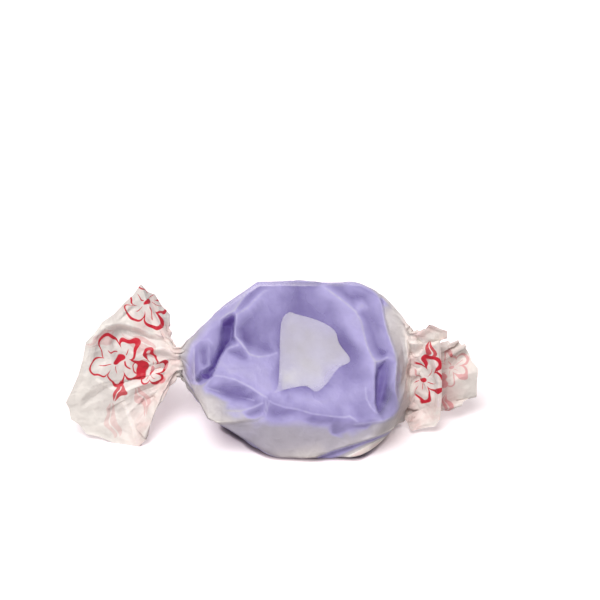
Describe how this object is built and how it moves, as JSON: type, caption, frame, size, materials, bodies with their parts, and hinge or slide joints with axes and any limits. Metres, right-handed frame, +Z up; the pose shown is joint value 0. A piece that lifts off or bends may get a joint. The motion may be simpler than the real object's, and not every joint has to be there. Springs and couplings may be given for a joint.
{
  "type": "wrapped taffy candy",
  "caption": "Soft pulled purple taffy with a white centre, wrapped in translucent waxed paper that is twisted into a flared fan at both ends.",
  "frame": {"origin": "centre of the bounding box at the height of the surface that the candy lies on", "axes": "+X along the twist, the longest side, -Y is the side of the cut face, +Z up"},
  "size_m": [0.0584, 0.0206, 0.021],
  "materials": {
    "waxed_paper": "thin translucent waxed paper, satin, crumpled, with red print near both ends",
    "purple_taffy": "soft pulled sugar taffy, opaque lilac purple, satin",
    "white_taffy": "soft pulled sugar taffy, opaque white, satin"
  },
  "bodies": {
    "root": {"wrapper": "waxed_paper", "taffy": "purple_taffy", "taffy_centre": "white_taffy"}
  },
  "joints": []
}
